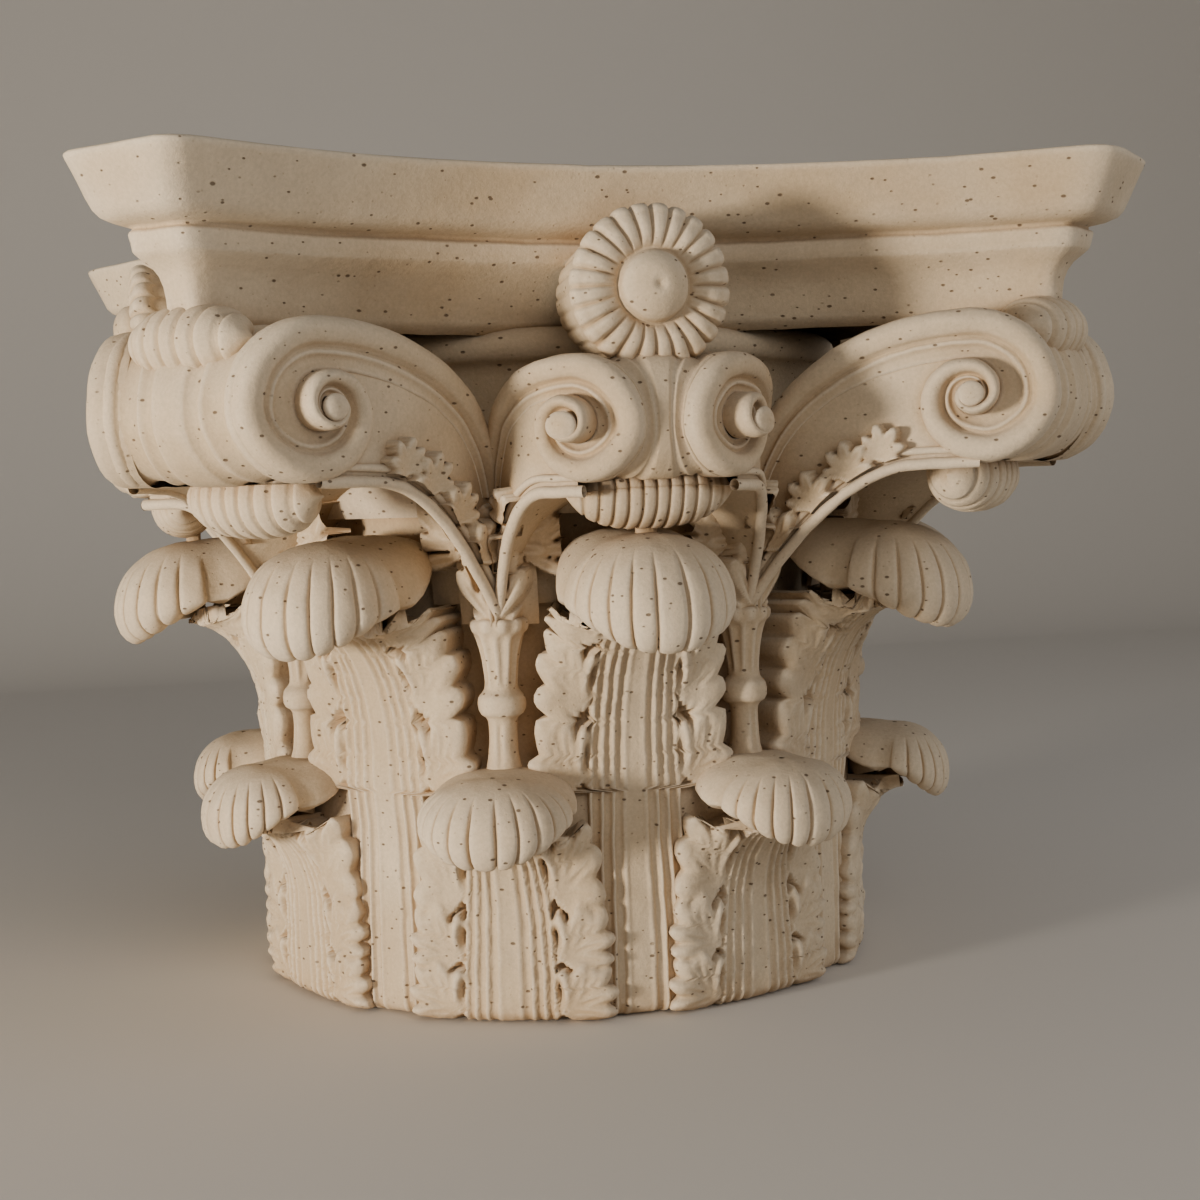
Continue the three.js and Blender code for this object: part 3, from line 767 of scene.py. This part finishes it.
def strut():
    """The post left between a shell under the helices and the leaf below it."""
    z = np.linspace(286, 322, 12)
    wide = 6.2 + 5 * ((z - 303) / 18) ** 4
    theta = np.linspace(0, 2 * math.pi, 17)[:-1]
    x = wide[:, None] * np.sign(np.cos(theta)) * np.abs(np.cos(theta)) ** 0.6
    y = -256 + 0.8 * wide[:, None] * np.sign(np.sin(theta)) * np.abs(np.sin(theta)) ** 0.6
    level = np.repeat(z[:, None], len(theta), 1)
    return sheet(np.stack([x, y, level], -1), wrap=True)


def fleuron():
    """The many-petalled flower on the middle of an abacus face."""
    petals, radius, centre, front, boss = 24, 48.0, 448.0, 290.0, 20.5
    theta = np.linspace(0, 2 * math.pi, petals * 7 + 1)[:-1]
    phase = theta * petals / (2 * math.pi)
    off = np.abs(phase - np.round(phase))
    groove = np.exp(-(off / 0.10) ** 2)
    swell = np.clip(1 - (2 * (0.5 - off)) ** 2, 0, 1)
    rows = []
    for r in np.linspace(0.01, 1, 14):
        dome = math.sqrt(max(0, 1 - r * r))
        dimple = 2.2 * math.exp(-((r * boss) / 3.0) ** 2)
        rows.append((r * boss, 13.5 * dome - dimple + 1.0, 0.0))
    for t in np.linspace(0, 1, 15):
        r = mix(boss + 0.5, radius - 6, t)
        rows.append((r, -3.5 + 8.5 * math.sin(math.pi * (0.12 + 0.62 * t)) - 2.0, smooth(t * 2.2)))
    for angle in np.radians(np.linspace(12, 150, 11)):
        rows.append((radius - 6 + 6 * math.sin(angle), -3.5 + 7 * math.cos(angle) - 3, 1.0))
    for back in (-14, -40, -80):
        rows.append((radius - 6 + 3 + back * 0.06, back, 0.8))
    grid = []
    for r, height, carve in rows:
        cut = carve * (3.0 * groove + 1.2 * (1 - swell))
        size = r - 0.55 * cut * (r > boss)
        depth = front + height - cut
        grid.append(np.stack([size * np.cos(theta), -depth + 0 * theta,
                              centre + size * np.sin(theta)], -1))
    return sheet(np.stack(grid), wrap=True)


# ---- Stone ---------------------------------------------------------------------------

class Nodes:
    """A small helper that adds shader nodes and joins them."""

    def __init__(self, tree):
        self.tree = tree

    def add(self, kind, inputs=None, **settings):
        node = self.tree.nodes.new(kind)
        for name, value in settings.items():
            setattr(node, name, value)
        for name, value in (inputs or {}).items():
            self.join(value, node.inputs[name])
        return node

    def join(self, value, socket):
        if isinstance(value, bpy.types.NodeSocket):
            self.tree.links.new(value, socket)
        else:
            socket.default_value = value

    def math(self, operation, a, b=0.0):
        return self.add("ShaderNodeMath", {0: a, 1: b}, operation=operation).outputs[0]

    def noise(self, where, scale, detail=4.0, roughness=0.55):
        node = self.add("ShaderNodeTexNoise", {
            "Vector": where, "Scale": scale, "Detail": detail, "Roughness": roughness})
        return node.outputs["Fac"]

    def steps(self, value, low, high, low_out=0.0, high_out=1.0):
        node = self.add("ShaderNodeMapRange", {
            "Value": value, "From Min": low, "From Max": high,
            "To Min": low_out, "To Max": high_out})
        return node.outputs["Result"]

    def blend(self, share, a, b, kind="MIX"):
        node = self.add("ShaderNodeMix", data_type="RGBA", blend_type=kind)
        for value, socket in ((share, node.inputs[0]), (a, node.inputs[6]), (b, node.inputs[7])):
            self.join(value, socket)
        return node.outputs[2]


def pits(n, where, scale, size, share):
    """Small round holes: a mask of those cells of a pattern that hold one."""
    cells = n.add("ShaderNodeTexVoronoi", {"Vector": where, "Scale": scale, "Randomness": 1.0})
    picked = n.add("ShaderNodeSeparateColor", {"Color": cells.outputs["Color"]})
    chosen = n.steps(picked.outputs[0], share, share - 0.03)
    reach = n.math("MULTIPLY", n.steps(picked.outputs[1], 0, 1, 0.45, 1.0), size)
    edge = n.math("DIVIDE", cells.outputs["Distance"], reach)
    return n.math("MULTIPLY", n.steps(edge, 1.0, 0.6), chosen)


PALE = (0.66, 0.54, 0.385, 1)
CREAM = (0.52, 0.395, 0.255, 1)
HOLLOW_SHADE = (0.36, 0.215, 0.10, 1)
GREY = (0.47, 0.385, 0.285, 1)
WORN_EDGE = (0.74, 0.64, 0.50, 1)
TOP_SHADE = (0.40, 0.34, 0.265, 1)
FINE_PIT = (0.27, 0.18, 0.105, 1)
PIT = (0.075, 0.042, 0.022, 1)


def limestone():
    """Warm cream limestone: pits, grain, painted shade in the hollows and paler worn edges."""
    material = bpy.data.materials.new("limestone")
    material.use_nodes = True
    tree = material.node_tree
    tree.nodes.clear()
    n = Nodes(tree)
    where = n.add("ShaderNodeTexCoord").outputs["Object"]
    clouds = n.noise(where, 7.0, 5.0)
    mottle = n.noise(where, 38.0, 5.0, 0.6)
    grain = n.noise(where, 420.0, 4.0, 0.7)
    stretch = n.add("ShaderNodeMapping", {"Vector": where, "Scale": (1.0, 1.0, 1.7)})
    small = pits(n, stretch.outputs[0], 105.0, 0.19, 0.85)
    large = pits(n, stretch.outputs[0], 46.0, 0.10, 0.7)
    fine = pits(n, where, 230.0, 0.2, 0.35)
    holes = n.math("MAXIMUM", small, large)

    colour = n.blend(n.steps(clouds, 0.36, 0.66), CREAM, PALE)
    colour = n.blend(n.math("MULTIPLY", n.steps(mottle, 0.45, 0.75), 0.3), colour, GREY)

    # Painted shade: an ochre-brown darkening where ambient occlusion finds hollows and creases.
    shade = n.add("ShaderNodeAmbientOcclusion", {"Distance": 0.03}, samples=8)
    hollow = n.steps(shade.outputs["AO"], 0.85, 0.25)
    colour = n.blend(n.math("MULTIPLY", hollow, 0.62), colour, HOLLOW_SHADE)

    geometry = n.add("ShaderNodeNewGeometry")
    edges = n.steps(geometry.outputs["Pointiness"], 0.505, 0.56)
    colour = n.blend(n.math("MULTIPLY", edges, 0.5), colour, WORN_EDGE)
    # Painted shade: faces that look up are mixed towards a greyer brown, as where less of the warm
    # low key light falls.
    upward = n.add("ShaderNodeSeparateXYZ", {"Vector": geometry.outputs["Normal"]}).outputs[2]
    top_shade = n.math("MULTIPLY", n.steps(upward, 0.15, 0.9), 0.5)
    colour = n.blend(top_shade, colour, TOP_SHADE)
    speckle = n.steps(grain, 0.35, 0.75, 0.90, 1.08)
    colour = n.blend(1.0, colour, speckle, "MULTIPLY")
    # Painted shade: the pits' near-black and the fine pits' darker brown stand for the shade
    # inside the holes.
    colour = n.blend(n.math("MULTIPLY", fine, 0.25), colour, FINE_PIT)
    colour = n.blend(n.math("MULTIPLY", holes, 0.8), colour, PIT)

    relief = n.math("MULTIPLY", grain, 0.45)
    relief = n.math("ADD", relief, n.math("MULTIPLY", n.noise(where, 110.0, 5.0, 0.65), 0.9))
    relief = n.math("SUBTRACT", relief, n.math("MULTIPLY", holes, 1.3))
    relief = n.math("SUBTRACT", relief, n.math("MULTIPLY", fine, 0.35))
    bump = n.add("ShaderNodeBump", {"Strength": 0.55, "Distance": 0.0012, "Height": relief})
    surface = n.add("ShaderNodeBsdfPrincipled", {
        "Base Color": colour, "Roughness": 0.88, "Normal": bump.outputs[0],
        "Specular IOR Level": 0.25})
    output = n.add("ShaderNodeOutputMaterial")
    n.join(surface.outputs[0], output.inputs["Surface"])
    return material


# ---- The capital ---------------------------------------------------------------------

def scrolls():
    parts = []
    for scroll in (VOLUTE, HELIX):
        surface = Surface(scroll)
        half = [scroll_ribbon(scroll, surface), scroll_eye(scroll, surface)]
        half += arch_rims(scroll, surface)
        parts += with_mirror(half)
        parts += [scroll_edge(scroll, surface), web(scroll, surface)]
    return four_faces(parts)


def fronds():
    volute = frond_band(VOLUTE, Surface(VOLUTE),
                        ((22, 10, 1.0), (45, 14, 0.95), (68, 16, 0.9), (90, 14, 0.8)), 120, 38)
    helix = frond_band(HELIX, Surface(HELIX), ((12, 14, 0.95), (32, 22, 0.8)), 70, 34)
    return four_faces(with_mirror([volute, helix]))


def calyces():
    return four_faces(with_mirror([caulicolus(), calyx_leaf(), back_fronds()]))


def curls():
    parts = []
    parts.append(curl(0, 262, 330, (47, 21, 21), 12))
    parts.append(curl(45, 318, 334, (45, 24, 23), 9))
    parts.append(curl(45, 364, 421, (41, 25, 21), 7))
    parts.append(strut())
    return four_faces(parts)


def build():
    stone = limestone()
    make_piece("bell_and_abacus", [bell(), abacus()], stone)
    make_piece("upper_leaves", around(leaf_body(UPPER, 124, 82), 0, 8), stone)
    tips = around(leaf_tip(UPPER), 0, 8) + around(leaf_tip(LOWER), 22.5, 8)
    make_piece("leaf_tips", tips, stone)
    make_piece("lower_leaves", around(leaf_body(LOWER, 92, 84), 22.5, 8), stone)
    make_piece("scrolls", scrolls(), stone)
    make_piece("fronds", fronds(), stone)
    make_piece("calyces", calyces(), stone)
    make_piece("curls", curls(), stone)
    make_piece("fleurons", four_faces([fleuron()]), stone)


# ---- Studio --------------------------------------------------------------------------

def plain(name, colour):
    material = bpy.data.materials.new(name)
    material.use_nodes = True
    surface = material.node_tree.nodes["Principled BSDF"]
    surface.inputs["Base Color"].default_value = (*colour, 1)
    surface.inputs["Roughness"].default_value = 0.9
    return material


def floor():
    """A pale floor that sweeps up behind the object."""
    reach, rise, bend, back = 7.0, 5.0, 1.2, 2.2
    profile = [(-reach, 0.0), (back, 0.0)]
    for a in np.radians(np.linspace(0, 90, 16)):
        profile.append((back + bend * math.sin(a), bend * (1 - math.cos(a))))
    profile.append((back + bend, rise))
    points = [(x, y, z + CAD_LOW[2] - 0.0005) for y, z in profile for x in (-reach, reach)]
    faces = [(2 * i, 2 * i + 1, 2 * i + 3, 2 * i + 2) for i in range(len(profile) - 1)]
    mesh = bpy.data.meshes.new("floor")
    mesh.from_pydata(points, [], faces)
    for polygon in mesh.polygons:
        polygon.use_smooth = True
    mesh.materials.append(plain("studio_floor", (0.62, 0.59, 0.55)))
    sweep = bpy.data.objects.new("floor", mesh)
    bpy.context.scene.collection.objects.link(sweep)


def lamp(name, place, target, size, power, colour):
    light = bpy.data.lights.new(name, "AREA")
    light.shape = "DISK"
    light.size = size
    light.energy = power
    light.color = colour
    holder = bpy.data.objects.new(name, light)
    holder.location = place
    holder.rotation_euler = (Vector(target) - Vector(place)).to_track_quat("-Z", "Y").to_euler()
    bpy.context.scene.collection.objects.link(holder)


def lights():
    middle = Vector((0, 0, 0.5 * (CAD_LOW[2] + CAD_HIGH[2])))
    lamp("key", (-2.2, -1.15, 0.22), middle, 0.40, 78, (1.0, 0.90, 0.76))
    lamp("front", (0.4, -2.6, 1.5), middle, 1.8, 17, (1.0, 0.96, 0.90))
    lamp("right", (2.2, -0.8, 0.9), middle, 1.6, 9, (0.95, 0.96, 1.0))
    world = bpy.data.worlds.new("studio")
    world.use_nodes = True
    background = world.node_tree.nodes["Background"]
    background.inputs["Color"].default_value = (1.0, 0.97, 0.93, 1)
    background.inputs["Strength"].default_value = 0.20
    bpy.context.scene.world = world


def camera():
    """A view from a step left of the front, at mid height, slightly rolled."""
    heading, pitch, roll = math.radians(13.64), math.radians(-3.38), math.radians(-1.92)
    place = Vector((-291.8, -1335.1, 332.3)) * MM
    view = bpy.data.cameras.new("camera")
    view.lens = 56.31
    view.sensor_width = 36.0
    holder = bpy.data.objects.new("camera", view)
    turn = Matrix.Rotation(-heading, 4, "Z") @ Matrix.Rotation(math.pi / 2 + pitch, 4, "X")
    turn = turn @ Matrix.Rotation(roll, 4, "Z")
    holder.matrix_world = Matrix.Translation(place) @ turn
    bpy.context.scene.collection.objects.link(holder)
    bpy.context.scene.camera = holder


build()
floor()
lights()
camera()
